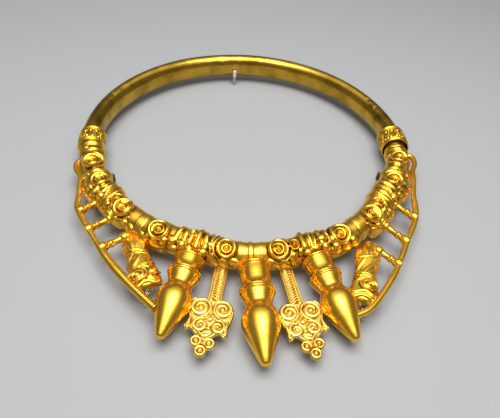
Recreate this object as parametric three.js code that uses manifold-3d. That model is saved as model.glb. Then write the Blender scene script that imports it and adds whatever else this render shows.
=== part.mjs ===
// A gold neck ring with three bud pendants, lying raised on its display pins.
// Millimetres, +Z up. The ring's centre is the working origin, and its front points along -Y.
// Angles are degrees round the ring from its front, positive towards +X.
import * as THREE from "three";
import { LoftGeometry } from "three/addons/geometries/LoftGeometry.js";
import { mergeVertices } from "three/addons/utils/BufferGeometryUtils.js";
import Module from "manifold-3d";

// ---- Driving dimensions ----------------------------------------------------
const RING_HEIGHT = 11; // the ring's plane above the surface that the pins stand on
const GAP = 0.3; // left between two pieces that are soldered together

const HOOP = { radius: 85, halfWidth: 5.2, halfHeight: 7.4, from: 95.3, to: 268.3 };
const FRONT = { radius: 83.4, tube: 5.6, from: -83.1, to: 87.3, plug: 5.6, plugFrom: 85 };
const RIGHT_ARM_INSET = { depth: 1.1, place: 56, half: 16 }; // the right arm is pressed in a little
const RIGHT_END_OFFSET = { depth: 0.9, from: 70, to: 82 }; // and its end stands out again
const LEFT_COLLAR = { radius: 84, end: 6.5, belly: 7.6, from: -91.5, to: -83.3 };
const RIGHT_COLLAR = { radius: 84.8, end: 7.2, belly: 8.3, from: 86.3, to: 95.1 };
const MOUTH = { radius: 6.6, depth: 2.1 }; // the socket in the right collar; its depth is an angle

// Relief on the front ring: places are angles, heights and sizes are millimetres.
const NECKS = [-56, -36.5, -1.3, 35.6, 56.1];
const NECK = { half: 3.2, depth: 0.7 };
const SPIRAL_BOSSES = [-71, -60.4, -44.7, -29.8, -8.5, 6.7, 27.3, 42.1, 62.6, 76.1];
const BOSS = { radius: 4.5, height: 1.8, lean: 20 };
const LUMPS = [-50.5, -24.5, -20, -15.5, 13, 17.5, 22, 49.5, 69.5];
const LUMP = { radius: 2.9, height: 1.5, lower: 44 };
const HEMS = [
  { place: -60, half: 4.8, height: 2.8 },
  { place: -48.5, half: 6, height: 1.6 },
  { place: -33.5, half: 8, height: 1.2 },
  { place: -8.7, half: 5.8, height: 0.7 },
  { place: 8.7, half: 6, height: 1.2 },
  { place: 28.2, half: 6.6, height: 1.8 },
  { place: 45.4, half: 7, height: 2.8 },
  { place: 62.6, half: 5.4, height: 3.6 },
];
const HEM = { turn: 121, spread: 42 };
const SWELLS = [
  { place: -52, half: 6, height: 0.9 },
  { place: -19, half: 15, height: 1.1 },
  { place: 15, half: 8, height: 0.8 },
  { place: 53, half: 16, height: 1.6 },
];
const SWELL = { turn: -50, spread: 58 };
const GUSSETS = [
  { place: -70, half: 5.4, height: 1.1 },
  { place: 74, half: 5.4, height: 1.8 },
];
const GUSSET = { turn: 92, spread: 30 };

// Buds are drawn along their axis from the double cord round their neck.
const BUD_PROFILE = [
  [5.9, -9.9], [6.7, -9.2], [7.1, -7.2], [6.9, -4.6], [6, -1.9], [6.9, 0], [7.75, 2.2], [7.2, 4.4],
  [5.75, 8.6], [6.5, 11.2], [7.95, 15.8], [7.6, 19.4], [6.3, 23.6], [3.4, 30.9], [1.9, 33.6],
];
const BUD_LENGTH = 34.7;
const BUD_DROOP = 3.4; // degrees below the ring's plane
const BUDS = [
  { name: "left_bud", at: -18.5, angle: -15.9, neck: 12.9, size: 0.95 },
  { name: "centre_bud", at: -0.5, angle: 2.7, neck: 17.2, size: 1 },
  { name: "right_bud", at: 17.9, angle: 15.8, neck: 14.7, size: 0.95 },
];

// Palmette plaques: x runs out along the strap and y towards the outer side.
const PLAQUES = [
  { name: "left_palmette_plaque", origin: [-14.1, -85.6], angle: -10.2, mirrored: true },
  { name: "right_palmette_plaque", origin: [13.6, -87.2], angle: 8.5, mirrored: false },
];
const PLATE = { top: -3.2, thickness: 1.3, relief: 0.6 };
const STRAP = { from: -2, to: 21.5, half: 3.1 };
const PALMETTE = [
  [20.2, 2.6], [18.9, 5.2], [19.8, 8.2], [22.2, 9.8], [25.6, 10], [28.2, 9], [30.6, 9.2], [33.2, 10.1],
  [34.7, 9.4], [34.3, 7.4], [35.4, 6], [37.2, 3.9], [38.2, 1], [37.2, -1.6], [35.6, -3.4], [35.6, -4.8],
  [36.6, -6.2], [35.8, -7.7], [33.2, -7.5], [30.2, -8.1], [27, -8.8], [23.6, -8.7], [20.6, -7.2],
  [19.2, -4.6], [20.2, -1.9],
];
const SCROLLS = [[24.4, 5.2, 4.4], [24.2, -4, 4.3], [32.4, 1, 4.5]];
const PLAQUE_BOSSES = [[39.4, 3.9], [39.9, -1.3], [43.4, 1.5]];
const PLAQUE_BOSS_RADIUS = 2.5;

// Little draped figures: places along their axis, then half width and half thickness there.
const FIGURES = [
  {
    name: "left_figure_ornament", from: [-55, -70.5], to: [-46, -99.5], height: -2,
    stations: [[0, 3.2, 2.4], [0.12, 4.6, 3], [0.24, 5, 3.6], [0.4, 4.1, 3.1], [0.5, 4.8, 3.6],
      [0.62, 6, 3.6], [0.74, 5.3, 3.2], [0.9, 6.9, 3.3], [1, 5.8, 2.4]],
    scroll: { place: 0.82, across: 2.4, radius: 3.8, top: 2.4 },
  },
  {
    name: "right_figure_ornament", from: [54, -75], to: [44.8, -107.5], height: -2,
    stations: [[0, 3.2, 2.6], [0.12, 4.8, 3.2], [0.22, 5.4, 3.8], [0.4, 4.8, 3.4], [0.55, 4.4, 3.2],
      [0.68, 5.2, 3.5], [0.86, 6.5, 3.4], [1, 5.2, 2.6]],
    scroll: { place: 0.77, across: -1.2, radius: 3.4, top: 2.2 },
  },
];

// Side wires run from the ring's arm to the outer bud; their routes were chosen by hand.
const WIRES = [
  {
    name: "left_side_wire", radius: 1.5, endRadius: 2,
    route: [[-85.4, -18], [-88.3, -22.6], [-87.6, -27.5], [-84.9, -32.5], [-83.8, -40], [-82.9, -48.5],
      [-81.5, -56.2], [-74, -69.6], [-63.4, -86], [-53, -98.8], [-41, -111.3]],
  },
  {
    name: "right_side_wire", radius: 1.5, endRadius: 1.5,
    route: [[89, -9.6], [92.8, -12.4], [92.5, -18.3], [89.4, -24.6], [87.2, -33.8], [84.2, -44],
      [81.1, -58.8], [71.1, -77], [60.6, -94.8], [47.7, -110.6], [39, -115.6]],
  },
];

// Turned struts between the ring, or a figure, and a side wire, as [inner end, wire end].
const STRUTS = {
  left: [[[-71.4, -49.2], [-81, -57]], [[-64.5, -60.3], [-75.4, -69]], [[-56.2, -72], [-67.6, -79.8]]],
  right: [[[71, -48.2], [81, -60]], [[62.7, -63.3], [72.4, -75.7]], [[55.6, -79.4], [65.2, -89.2]]],
};
const STRUT_PROFILE = [[2.3, 0.2], [1.3, 0.38], [2, 0.5], [1.3, 0.64], [2.3, 0.84]];

// Display pins, all cut off flat where they enter the board.
const PINS = [
  { name: "back_pin", angle: -177.1, radius: 78.2, tip: -0.5, underside: HOOP.halfHeight, reach: 5.4 },
  { name: "left_pin", angle: -67.4, radius: 75.4, tip: -1.4, underside: FRONT.tube, reach: 6.4 },
  { name: "right_pin", angle: 71.2, radius: 75.4, tip: -1.4, underside: FRONT.tube, reach: 6.4 },
];
const PIN = { rod: 1.1, arm: 1.4 };
const PEGS = [
  { name: "left_front_peg", at: [-45.8, -101.6], angle: -13, top: -2.6 },
  { name: "right_front_peg", at: [44.4, -110], angle: 13, top: -2.6 },
];
const PEG = { rod: 1.5, arm: 1.3, reach: 6 };

const ROUND = 14; // sides of a turned or oval section
const CARVED_ROUND = 16; // sides of the carved ring's section
const SLIM_ROUND = 8; // sides of a wire, strut or pin
const STEP = 2.05; // degrees between the carved ring's sections

// ---- Materials -------------------------------------------------------------
const gold = (color, roughness) => new THREE.MeshStandardMaterial({ color, roughness, metalness: 1 });
const MATERIALS = {
  polished: () => gold(0xd9a93a, 0.22),
  relief: () => gold(0xcf9a32, 0.33),
  matte: () => gold(0xdfba62, 0.45),
  steel: () => new THREE.MeshStandardMaterial({ color: 0xb9b5a8, roughness: 0.5, metalness: 0.6 }),
  clear: () => new THREE.MeshStandardMaterial({ color: 0xe8eef0, roughness: 0.1, metalness: 0 }),
};

// ---- Solids ----------------------------------------------------------------
const wasm = await Module();
wasm.setup();

const radians = THREE.MathUtils.degToRad;
const UP = new THREE.Vector3(0, 0, 1);

// A closed three.js geometry as a manifold-3d solid.
function solid(geometry) {
  const bare = new THREE.BufferGeometry();
  bare.setAttribute("position", geometry.getAttribute("position"));
  bare.setIndex(geometry.index);
  const merged = mergeVertices(bare, 1e-4);
  const corners = [];
  for (let i = 0; i < merged.index.count; i += 3) {
    const [a, b, c] = [0, 1, 2].map((k) => merged.index.getX(i + k));
    if (a !== b && b !== c && c !== a) corners.push(a, b, c);
  }
  return new wasm.Manifold(
    new wasm.Mesh({
      numProp: 3,
      vertProperties: merged.attributes.position.array,
      triVerts: new Uint32Array(corners),
    }),
  );
}

// The named mesh of a solid, less its neighbours; a sliver that a cut leaves behind is dropped.
function piece(name, body, material, neighbours = []) {
  const cut = neighbours.reduce((left, neighbour) => left.subtract(neighbour), body);
  const largest = cut.decompose().sort((a, b) => b.volume() - a.volume())[0];
  const { numProp, numVert, vertProperties, triVerts } = largest.getMesh();
  const positions = new Float32Array(numVert * 3);
  for (let i = 0; i < numVert; i += 1) {
    positions.set(vertProperties.subarray(i * numProp, i * numProp + 3), i * 3);
  }
  const geometry = new THREE.BufferGeometry();
  geometry.setAttribute("position", new THREE.BufferAttribute(positions, 3));
  geometry.setIndex(new THREE.BufferAttribute(triVerts, 1));
  geometry.computeVertexNormals();
  const mesh = new THREE.Mesh(geometry, material);
  mesh.name = name;
  return mesh;
}

const union = (bodies) => bodies.reduce((whole, body) => whole.add(body));

function ringPoint(angle, radius, height = 0) {
  const turn = radians(angle);
  return new THREE.Vector3(radius * Math.sin(turn), -radius * Math.cos(turn), height);
}

// A closed outline of [across, rise] points; radiusAt takes the turn from the top, in degrees.
function outline(count, radiusAt, halfWidth = 1, halfHeight = 1) {
  return Array.from({ length: count }, (_, i) => {
    const turn = (360 * i) / count;
    const reach = radiusAt(turn);
    return [reach * halfWidth * Math.sin(radians(turn)), reach * halfHeight * Math.cos(radians(turn))];
  });
}

// A solid through sections, each an outline in the plane of its side and up directions.
function loft(sections) {
  const rows = sections.map(({ centre, side, up, points }) =>
    points.map(([across, rise]) =>
      centre.clone().addScaledVector(side, across).addScaledVector(up, rise),
    ),
  );
  return solid(new LoftGeometry(rows, { capStart: true, capEnd: true }));
}

// A loft round the ring, with a section in the radial plane at each step.
function arc(from, to, steps, radiusAt, pointsAt) {
  const sections = Array.from({ length: steps + 1 }, (_, i) => {
    const angle = from + ((to - from) * i) / steps;
    const side = ringPoint(angle, 1);
    return { centre: ringPoint(angle, radiusAt(angle)), side, up: UP, points: pointsAt(angle) };
  });
  return loft(sections);
}

// A profile of [radius, distance] points turned about an axis that leaves a point at an angle.
function turned(profile, [x, y], angle, sides, droop = 0) {
  const points = profile.map(([radius, along]) => new THREE.Vector2(radius, along));
  const shape = solid(new THREE.LatheGeometry(points, sides));
  return shape.rotate([-droop, 0, 180 + angle]).translate([x, y, 0]);
}

// A smooth hump: 1 at its centre, 0 from its edge on.
const hump = (distance) => (distance >= 1 ? 0 : Math.cos((Math.PI / 2) * distance) ** 2);
const dome = (distance) => (distance >= 1 ? 0 : Math.sqrt(1 - distance * distance));
const turnBetween = (a, b) => Math.abs(((a - b + 540) % 360) - 180);

// ---- The ring --------------------------------------------------------------
// The radius of the front ring's centre line at an angle.
function frontLine(angle) {
  const { depth, place, half } = RIGHT_ARM_INSET;
  const { depth: offset, from, to } = RIGHT_END_OFFSET;
  const inset = depth * hump(Math.abs(angle - place) / half);
  return FRONT.radius - inset + offset * THREE.MathUtils.smoothstep(angle, from, to);
}

// The carved ring's radius at an angle, at a turn from its top through its outer side.
function carvedRadius(angle, turn) {
  if (angle > FRONT.plugFrom) return FRONT.plug;
  const along = radians(1) * FRONT.radius;
  const around = radians(1) * FRONT.tube;
  const lean = BOSS.lean * Math.cos(radians(angle)) ** 2;
  const away = (place, centreTurn, size) =>
    Math.hypot((angle - place) * along, turnBetween(turn, centreTurn) * around) / size;
  const flange = ({ place, half, height }, shape) =>
    height * hump(Math.abs(angle - place) / half) ** 0.5 * hump(turnBetween(turn, shape.turn) / shape.spread);
  const bosses = SPIRAL_BOSSES.map((place) => BOSS.height * dome(away(place, lean, BOSS.radius)));
  const lumps = LUMPS.flatMap((place) =>
    [lean, lean + LUMP.lower, lean - LUMP.lower].map((centreTurn) =>
      LUMP.height * dome(away(place, centreTurn, LUMP.radius)),
    ),
  );
  const hems = HEMS.map((each) => flange(each, HEM));
  const swells = SWELLS.map((each) => flange(each, SWELL));
  const gussets = GUSSETS.map((each) => flange(each, GUSSET));
  const neck = Math.max(...NECKS.map((place) => hump(Math.abs(angle - place) / NECK.half)));
  const relief = Math.max(...bosses, ...lumps, ...hems, ...swells, ...gussets);
  return FRONT.tube + NECK.depth * (1 - neck) * 0.6 + relief;
}

function frontRing(growth = 0) {
  const steps = Math.round((FRONT.to - FRONT.from) / STEP);
  return arc(FRONT.from, FRONT.to, steps, frontLine, (angle) =>
    outline(CARVED_ROUND, (turn) => carvedRadius(angle, turn) + growth),
  );
}

function rearHoop() {
  const oval = outline(ROUND, () => 1, HOOP.halfWidth, HOOP.halfHeight);
  return arc(HOOP.from, HOOP.to, 26, () => HOOP.radius, () => oval);
}

// A barrel with a ridge at each end and a full belly.
function collar({ radius, end, belly, from, to }) {
  return arc(from, to, 9, () => radius, (angle) => {
    const place = (angle - from) / (to - from);
    const ridge = place < 0.13 || place > 0.87 ? 0.6 : 0;
    return outline(ROUND, () => end + ridge + (belly - end) * Math.sin(Math.PI * place));
  });
}

function mouth() {
  const { from, radius } = RIGHT_COLLAR;
  const line = (angle) => (radius + frontLine(angle)) / 2;
  return arc(from - 1, from + MOUTH.depth, 3, line, () => outline(ROUND, () => MOUTH.radius));
}

// ---- What hangs on it ------------------------------------------------------
// A bud starts inside the ring, on its centre line.
function bud({ at, angle, neck, size }, growth = 0) {
  const profile = [
    [0, 0],
    [5.9 * size, 0],
    ...BUD_PROFILE.map(([radius, along]) => [radius * size + growth, neck + along * size]),
    [0, neck + BUD_LENGTH * size + growth],
  ];
  const { x, y } = ringPoint(at, FRONT.radius);
  return turned(profile, [x, y], angle, ROUND, BUD_DROOP);
}

function prism(shape, base, height, curveSegments = 6) {
  const geometry = new THREE.ExtrudeGeometry(shape, { depth: height, bevelEnabled: false, curveSegments });
  return solid(geometry).translate([0, 0, base]);
}

function disc([x, y], radius, base, height) {
  return prism(new THREE.Shape().absarc(x, y, radius, 0, 2 * Math.PI), base, height);
}

// The palmette's outline, as a smooth closed curve.
function palmette() {
  const [first, ...rest] = PALMETTE.map(([x, y]) => new THREE.Vector2(x, y));
  const shape = new THREE.Shape();
  shape.moveTo(first.x, first.y);
  shape.splineThru([...rest, first]);
  return shape;
}

function plaque({ origin, angle, mirrored }) {
  const bottom = PLATE.top - PLATE.thickness;
  const full = PLATE.thickness + PLATE.relief;
  const strap = new THREE.BoxGeometry(STRAP.to - STRAP.from, 2 * STRAP.half, PLATE.thickness);
  const placedStrap = solid(strap).translate([(STRAP.from + STRAP.to) / 2, 0, bottom + PLATE.thickness / 2]);
  const sheet = prism(palmette(), bottom, PLATE.thickness, 2);
  const scrolls = SCROLLS.map(([x, y, radius]) => disc([x, y], radius, bottom, full));
  const bosses = PLAQUE_BOSSES.map((at) => disc(at, PLAQUE_BOSS_RADIUS, bottom, full));
  const whole = union([placedStrap, sheet, ...scrolls, ...bosses]);
  const handed = mirrored ? whole.mirror([0, 1, 0]) : whole;
  return handed.rotate([0, 0, angle - 90]).translate([...origin, 0]);
}

function figure({ from, to, height, stations, scroll }, growth = 0) {
  const start = new THREE.Vector3(...from, height);
  const end = new THREE.Vector3(...to, height);
  const side = end.clone().sub(start).normalize().cross(UP);
  const drapery = loft(
    stations.map(([place, halfWidth, halfThickness]) => ({
      centre: start.clone().lerp(end, place),
      side,
      up: UP,
      points: outline(ROUND, () => 1, halfWidth + growth, halfThickness + growth),
    })),
  );
  const { x, y } = start.clone().lerp(end, scroll.place).addScaledVector(side, scroll.across);
  return drapery.add(disc([x, y], scroll.radius + growth, height, scroll.top + growth - height));
}

function sideWire({ radius, endRadius, route }, growth = 0) {
  const curve = new THREE.CatmullRomCurve3(route.map(([x, y]) => new THREE.Vector3(x, y, 0)));
  const steps = 28;
  const sections = Array.from({ length: steps + 1 }, (_, i) => {
    const place = i / steps;
    const thickening = (endRadius - radius) * THREE.MathUtils.smoothstep(place, 0.62, 0.7);
    return {
      centre: curve.getPointAt(place),
      side: curve.getTangentAt(place).cross(UP),
      up: UP,
      points: outline(SLIM_ROUND, () => radius + thickening + growth),
    };
  });
  return loft(sections);
}

function strut([[x0, y0], [x1, y1]]) {
  const length = Math.hypot(x1 - x0, y1 - y0);
  const angle = THREE.MathUtils.radToDeg(Math.atan2(x1 - x0, y0 - y1));
  const profile = [
    [0, 0],
    [1.3, 0],
    ...STRUT_PROFILE.map(([radius, place]) => [radius, place * length]),
    [2.2, length],
    [0, length],
  ];
  return turned(profile, [x0, y0], angle, SLIM_ROUND);
}

// ---- What holds it up ------------------------------------------------------
function rod([x, y], radius, top) {
  const height = RING_HEIGHT + top;
  const shaft = new THREE.CylinderGeometry(radius, radius, height, SLIM_ROUND).rotateX(Math.PI / 2);
  return solid(shaft).translate([x, y, height / 2 - RING_HEIGHT]);
}

function arm([x, y], angle, reach, width, top) {
  return solid(new THREE.BoxGeometry(2 * width, reach, width))
    .translate([0, -reach / 2, top - width / 2])
    .rotate([0, 0, angle])
    .translate([x, y, 0]);
}

// A rod inside the ring with a short arm under it.
function pin({ angle, radius, tip, underside, reach }) {
  const foot = ringPoint(angle, radius).toArray().slice(0, 2);
  return union([rod(foot, PIN.rod, tip), arm(foot, angle, reach, PIN.arm, -underside - GAP)]);
}

function peg({ at, angle, top }) {
  return union([rod(at, PEG.rod, top), arm(at, angle + 180, PEG.reach, PEG.arm, top - 3.2)]);
}

// ---- Assembly --------------------------------------------------------------
const torc = new THREE.Group();
torc.position.z = RING_HEIGHT;

const ring = frontRing();
const ringClearance = frontRing(GAP);
const budClearances = BUDS.map((each) => bud(each, GAP));
const wireClearances = WIRES.map((each) => sideWire(each, GAP));
const figureClearances = FIGURES.map((each) => figure(each, GAP));
const around = [ringClearance, ...budClearances];

torc.add(
  piece("rear_hoop", rearHoop(), MATERIALS.polished()),
  piece("left_collar", collar(LEFT_COLLAR), MATERIALS.relief()),
  piece("right_collar", collar(RIGHT_COLLAR), MATERIALS.relief(), [mouth()]),
  piece("front_ring", ring, MATERIALS.relief()),
);
for (const each of BUDS) {
  torc.add(piece(each.name, bud(each), MATERIALS.polished(), [ringClearance]));
}
for (const each of PLAQUES) {
  torc.add(piece(each.name, plaque(each), MATERIALS.matte(), around));
}
for (const each of FIGURES) {
  torc.add(piece(each.name, figure(each), MATERIALS.relief(), [...around, ...wireClearances]));
}
for (const each of WIRES) {
  torc.add(piece(each.name, sideWire(each), MATERIALS.relief(), around));
}
for (const [side, struts] of Object.entries(STRUTS)) {
  struts.forEach((ends, i) => {
    const name = `${side}_strut_${i + 1}`;
    const neighbours = [...around, ...wireClearances, ...figureClearances];
    torc.add(piece(name, strut(ends), MATERIALS.relief(), neighbours));
  });
}
for (const each of PINS) {
  torc.add(piece(each.name, pin(each), MATERIALS.steel()));
}
for (const each of PEGS) {
  torc.add(piece(each.name, peg(each), MATERIALS.clear(), wireClearances));
}

// The part's origin is the middle of its outline, on the surface that the pins stand on.
const centre = new THREE.Box3().setFromObject(torc).getCenter(new THREE.Vector3());
torc.position.x = -centre.x;
torc.position.y = -centre.y;

const group = new THREE.Group();
group.add(torc);
export default group;
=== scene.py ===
"""Looks of the gold neck ring: fine relief, gold, pins, floor, light and camera.

Lengths are millimetres in the ring's own frame until to_row() turns them into metres in the row frame.
The ring's centre is that frame's origin and its front points along -Y. Angles are degrees round the ring
from its front, positive towards +X. A turn goes round a section from its top through its outer side.
"""
import math

import bpy
import numpy as np
from mathutils import Matrix, Vector


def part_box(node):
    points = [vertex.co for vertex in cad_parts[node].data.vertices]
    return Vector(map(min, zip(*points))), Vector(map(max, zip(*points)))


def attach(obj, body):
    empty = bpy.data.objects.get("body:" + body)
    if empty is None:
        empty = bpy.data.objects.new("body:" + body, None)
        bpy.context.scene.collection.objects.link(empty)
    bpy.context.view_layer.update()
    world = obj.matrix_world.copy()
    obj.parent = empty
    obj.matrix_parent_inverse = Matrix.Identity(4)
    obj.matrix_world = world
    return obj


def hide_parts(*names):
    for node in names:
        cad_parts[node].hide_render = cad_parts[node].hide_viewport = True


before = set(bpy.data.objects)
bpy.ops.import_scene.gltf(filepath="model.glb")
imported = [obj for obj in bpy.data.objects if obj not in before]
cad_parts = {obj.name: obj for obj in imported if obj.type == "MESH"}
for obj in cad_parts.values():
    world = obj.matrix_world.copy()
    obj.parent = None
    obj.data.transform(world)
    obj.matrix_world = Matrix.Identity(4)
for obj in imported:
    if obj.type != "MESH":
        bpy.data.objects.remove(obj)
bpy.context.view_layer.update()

# ---- The ring's frame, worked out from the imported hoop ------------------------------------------
MM = 0.001
HOOP_RADIUS, HOOP_HALF_WIDTH, HOOP_HALF_HEIGHT = 85.0, 5.2, 7.4
HOOP_FROM, HOOP_TO = 95.3, 268.3
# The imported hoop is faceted: 14 sides round, and 26 steps along, of which the 13th is nearest its back.
packed_edge = HOOP_RADIUS + HOOP_HALF_WIDTH * math.sin(math.radians(3 * 360 / 14))
packed_back = HOOP_FROM + 13 * (HOOP_TO - HOOP_FROM) / 26
hoop_low, hoop_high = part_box("rear_hoop")
RING_CENTRE = np.array([
    hoop_low.x + MM * packed_edge * math.cos(math.radians(270 - HOOP_TO)),
    hoop_high.y - MM * packed_edge * math.cos(math.radians(packed_back - 180)),
    (hoop_low.z + hoop_high.z) / 2,
])
RING_HEIGHT = RING_CENTRE[2] / MM


def to_row(points):
    return RING_CENTRE + MM * np.asarray(points, float)


def ring_points(angles, radii, heights):
    turn = np.radians(angles)
    return np.stack(np.broadcast_arrays(radii * np.sin(turn), -radii * np.cos(turn), heights), -1)


# ---- Mesh helpers -------------------------------------------------------------------------------
def smoothstep(low, high, value):
    t = np.clip((value - low) / (high - low), 0, 1)
    return t * t * (3 - 2 * t)


def dome(distance):
    """1 at the middle and a steep fall to 0 at distance 1."""
    return np.sqrt(np.clip(1 - np.square(distance), 0, None))


def hump(distance):
    """1 at the middle and a gentle fall to 0 at distance 1."""
    return np.where(np.abs(distance) < 1, np.cos(np.clip(distance, -1, 1) * math.pi / 2) ** 2, 0)


def blurred(values, reach, wrap):
    """A box blur of a grid, along its rows and round its columns."""
    mode = ["edge", "wrap" if wrap else "edge"]
    out = values
    for axis in (0, 1):
        pad = [(0, 0), (0, 0)]
        pad[axis] = (reach + 1, reach)
        total = np.cumsum(np.pad(out, pad, mode=mode[axis]), axis=axis)
        high = np.take(total, range(2 * reach + 1, total.shape[axis]), axis=axis)
        low = np.take(total, range(0, total.shape[axis] - 2 * reach - 1), axis=axis)
        out = (high - low) / (2 * reach + 1)
    return out


def painted_groove_shade(relief, reach=4, depth=0.45, wrap=True):
    """How much painted shade a relief's grooves get: 0 on ridges and open ground, up to 1 in the grooves."""
    return np.clip((blurred(relief, reach, wrap) - relief) / depth, 0, 1)


def add_piece(name, points, faces, material, node, painted_shade=None, sharp=50):
    mesh = bpy.data.meshes.new(name)
    mesh.from_pydata(to_row(points).tolist(), [], [tuple(face) for face in faces])
    mesh.polygons.foreach_set("use_smooth", np.ones(len(mesh.polygons), bool))
    mesh.set_sharp_from_angle(angle=math.radians(sharp))
    # Each vertex carries how much painted shade its gold takes in the grooves.
    attribute = mesh.attributes.new("painted_shade", "FLOAT", "POINT")
    values = np.zeros(len(points)) if painted_shade is None else painted_shade
    attribute.data.foreach_set("value", np.asarray(values, np.float32).ravel())
    mesh.materials.append(material)
    mesh.validate()
    piece = bpy.data.objects.new(name, mesh)
    bpy.context.scene.collection.objects.link(piece)
    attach(piece, "root")
    if node:
        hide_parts(node)
    return piece


def tube(rows):
    """Points and faces of a closed skin over rings of points, shaped (rows, columns, 3)."""
    count, columns = rows.shape[:2]
    i, j = np.arange(count - 1)[:, None], np.arange(columns)[None, :]
    after = (j + 1) % columns
    quads = [i * columns + j, i * columns + after, (i + 1) * columns + after, (i + 1) * columns + j]
    faces = np.stack(quads, -1).reshape(-1, 4).tolist()
    start, end = count * columns, count * columns + 1
    last = (count - 1) * columns
    for k in range(columns):
        following = (k + 1) % columns
        faces.append((start, following, k))
        faces.append((end, last + k, last + following))
    points = np.concatenate([rows.reshape(-1, 3), rows[0].mean(0)[None], rows[-1].mean(0)[None]])
    return points, faces


def joined(*skins):
    """Several (points, faces) skins as one."""
    points, faces, base = [], [], 0
    for skin_points, skin_faces in skins:
        points.append(skin_points)
        faces.extend([tuple(k + base for k in face) for face in skin_faces])
        base += len(skin_points)
    return np.concatenate(points), faces


def with_caps(painted_shade):
    return np.concatenate([np.asarray(painted_shade).ravel(), [0, 0]])


def swept(centres, sides, ups, across, rise):
    """Rows of points: each section lies in the plane of its side and up directions."""
    return (
        centres[:, None, :]
        + sides[:, None, :] * across[..., None]
        + ups[:, None, :] * rise[..., None]
    )


def arc_rows(angles, radius, across, rise):
    """Sections in radial planes round the ring."""
    sides = ring_points(angles, 1.0, 0.0)
    ups = np.broadcast_to([0.0, 0.0, 1.0], sides.shape)
    return swept(ring_points(angles, radius, 0.0), sides, ups, across, rise)


def turned_rows(profile, origin, angle, columns, droop=0.0):
    """A profile of (distance, radius) rows turned about an axis that leaves origin at an angle."""
    level = ring_points(np.array([angle]), 1.0, 0.0)[0]
    side = np.array([-level[1], level[0], 0.0])
    dip = math.radians(droop)
    axis = level * math.cos(dip) - np.array([0.0, 0.0, math.sin(dip)])
    up = np.cross(side, axis)
    up = up * np.sign(up[2])
    turn = np.linspace(0, 2 * math.pi, columns, endpoint=False)
    centres = np.array([*origin, 0.0]) + profile[:, :1] * axis
    across = profile[:, 1:] * np.sin(turn)
    rise = profile[:, 1:] * np.cos(turn)
    sides, ups = np.broadcast_to(side, centres.shape), np.broadcast_to(up, centres.shape)
    return swept(centres, sides, ups, across, rise)


def cubic_span(a, b, c, d, count):
    """Points on a smooth curve from b towards c, where a and d are the neighbours on either side."""
    t = np.linspace(0, 1, count, endpoint=False)[:, None]
    start = 2 * b + (c - a) * t + (2 * a - 5 * b + 4 * c - d) * t**2
    return (start + (3 * b - a - 3 * c + d) * t**3) / 2


def catmull(route, count):
    """Evenly spaced points on a smooth curve through the route."""
    p = np.asarray(route, float)
    p = np.concatenate([[2 * p[0] - p[1]], p, [2 * p[-1] - p[-2]]])
    spans = [cubic_span(*p[k:k + 4], 60) for k in range(len(p) - 3)]
    dense = np.concatenate([*spans, p[-2:-1]])
    length = np.concatenate([[0], np.cumsum(np.linalg.norm(np.diff(dense, axis=0), axis=1))])
    even = np.linspace(0, length[-1], count)
    return np.stack([np.interp(even, length, dense[:, k]) for k in range(dense.shape[1])], -1), even


def smooth_profile(knots, at):
    """A smooth curve through (place, value) knots, without overshoot."""
    x, y = np.array(knots, float).T
    h, slope = np.diff(x), np.diff(y) / np.diff(x)
    tangent = np.zeros_like(y)
    same = slope[1:] * slope[:-1] > 0
    w1, w2 = 2 * h[1:] + h[:-1], h[1:] + 2 * h[:-1]
    safe = np.where(same, slope[1:] * slope[:-1], 1)
    tangent[1:-1] = np.where(same, (w1 + w2) * safe / (w1 * slope[1:] + w2 * slope[:-1] + ~same), 0)
    tangent[0], tangent[-1] = slope[0], slope[-1]
    k = np.clip(np.searchsorted(x, at) - 1, 0, len(h) - 1)
    t = np.clip((at - x[k]) / h[k], 0, 1)
    start = y[k] * (1 + 2 * t) * (1 - t) ** 2 + tangent[k] * h[k] * t * (1 - t) ** 2
    return start + y[k + 1] * t * t * (3 - 2 * t) + tangent[k + 1] * h[k] * t * t * (t - 1)


# ---- Materials ----------------------------------------------------------------------------------
def node_material(name):
    material = bpy.data.materials.new(name)
    material.use_nodes = True
    nodes, links = material.node_tree.nodes, material.node_tree.links
    return material, nodes, links, nodes["Principled BSDF"]


def object_noise(nodes, links, scale, detail=2.0, stretch=None):
    """The factor of a noise in object space, with its pattern stretched if asked."""
    place = nodes.new("ShaderNodeTexCoord").outputs["Object"]
    if stretch:
        mapping = nodes.new("ShaderNodeMapping")
        mapping.inputs["Scale"].default_value = stretch
        links.new(place, mapping.inputs["Vector"])
        place = mapping.outputs["Vector"]
    noise = nodes.new("ShaderNodeTexNoise")
    noise.inputs["Scale"].default_value = scale
    noise.inputs["Detail"].default_value = detail
    links.new(place, noise.inputs["Vector"])
    return noise.outputs["Fac"]


def remapped(nodes, links, value, low_in, high_in, low_out, high_out):
    node = nodes.new("ShaderNodeMapRange")
    node.inputs["From Min"].default_value = low_in
    node.inputs["From Max"].default_value = high_in
    node.inputs["To Min"].default_value = low_out
    node.inputs["To Max"].default_value = high_out
    links.new(value, node.inputs["Value"])
    return node.outputs["Result"]


def blended(nodes, links, factor, first, second):
    node = nodes.new("ShaderNodeMix")
    node.data_type = "RGBA"
    node.inputs["A"].default_value = (*first, 1)
    node.inputs["B"].default_value = (*second, 1)
    links.new(factor, node.inputs["Factor"])
    return node.outputs["Result"]


def bumped(nodes, links, height, strength, below=None):
    """The normal of a fine bump, laid over another bump's normal if there is one below."""
    node = nodes.new("ShaderNodeBump")
    node.inputs["Strength"].default_value = strength
    node.inputs["Distance"].default_value = BUMP_DISTANCE
    links.new(height, node.inputs["Height"])
    if below:
        links.new(below, node.inputs["Normal"])
    return node.outputs["Normal"]


# Noise scales are in cycles per metre.
BUMP_DISTANCE = 0.0002
PATCH_SCALE, GRAIN_SCALE, SCRATCH_SCALE = 90, 1500, 700
SCRATCH_STRETCH = (1.0, 0.12, 0.6)
PAINTED_SHADE_TONE = 0.95  # how much of the deep tone the deepest groove takes as painted shade


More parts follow.
